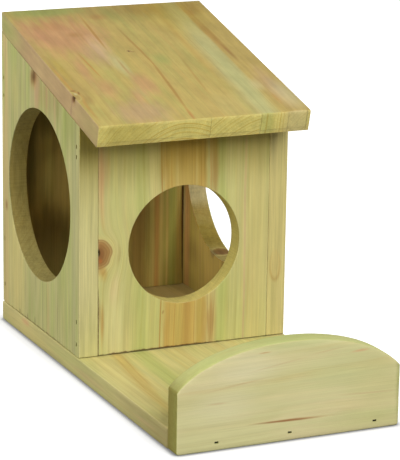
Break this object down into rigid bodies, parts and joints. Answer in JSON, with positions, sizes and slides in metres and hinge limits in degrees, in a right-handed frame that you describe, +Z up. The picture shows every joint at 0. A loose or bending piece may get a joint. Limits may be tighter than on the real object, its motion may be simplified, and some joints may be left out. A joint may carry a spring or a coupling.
{
  "type": "squirrel feeder box",
  "caption": "Garden feeder box for squirrels: an open lean-to house of softwood boards with round openings, on a long base board that forms a feeding tray behind an arched lip.",
  "frame": {"origin": "centre of the overall box on the ground, under the base board", "axes": "+X to the right seen from the front, +Y from the tray to the back of the house (front faces -Y), +Z up"},
  "size_m": [0.177, 0.3606, 0.2582],
  "materials": {
    "pine_base": "planed, pressure treated, pale green",
    "pine_side": "planed, pressure treated, grey green",
    "pine_front": "planed, pressure treated, yellow green with orange streaks",
    "pine_back": "planed, pressure treated, yellow green",
    "pine_roof": "planed, pressure treated, straw with salmon and green tints",
    "pine_lip": "planed, pressure treated, pale cream green",
    "brad_steel": "dull, darkened"
  },
  "bodies": {
    "root": {"back_panel": "pine_back", "base_board": "pine_base", "brad_floor_back_1": "brad_steel", "brad_floor_back_2": "brad_steel", "brad_floor_front_1": "brad_steel", "brad_floor_front_2": "brad_steel", "brad_floor_left_1": "brad_steel", "brad_floor_left_2": "brad_steel", "brad_floor_left_3": "brad_steel", "brad_floor_right_1": "brad_steel", "brad_floor_right_2": "brad_steel", "brad_floor_right_3": "brad_steel", "brad_left_back_1": "brad_steel", "brad_left_back_2": "brad_steel", "brad_left_back_3": "brad_steel", "brad_left_back_4": "brad_steel", "brad_left_front_1": "brad_steel", "brad_left_front_2": "brad_steel", "brad_left_front_3": "brad_steel", "brad_left_front_4": "brad_steel", "brad_lip_1": "brad_steel", "brad_lip_2": "brad_steel", "brad_lip_3": "brad_steel", "brad_right_back_1": "brad_steel", "brad_right_back_2": "brad_steel", "brad_right_back_3": "brad_steel", "brad_right_back_4": "brad_steel", "brad_right_front_1": "brad_steel", "brad_right_front_2": "brad_steel", "brad_right_front_3": "brad_steel", "brad_right_front_4": "brad_steel", "front_panel": "pine_front", "left_side": "pine_side", "lip_board": "pine_lip", "right_side": "pine_side", "roof_board": "pine_roof"}
  },
  "joints": []
}
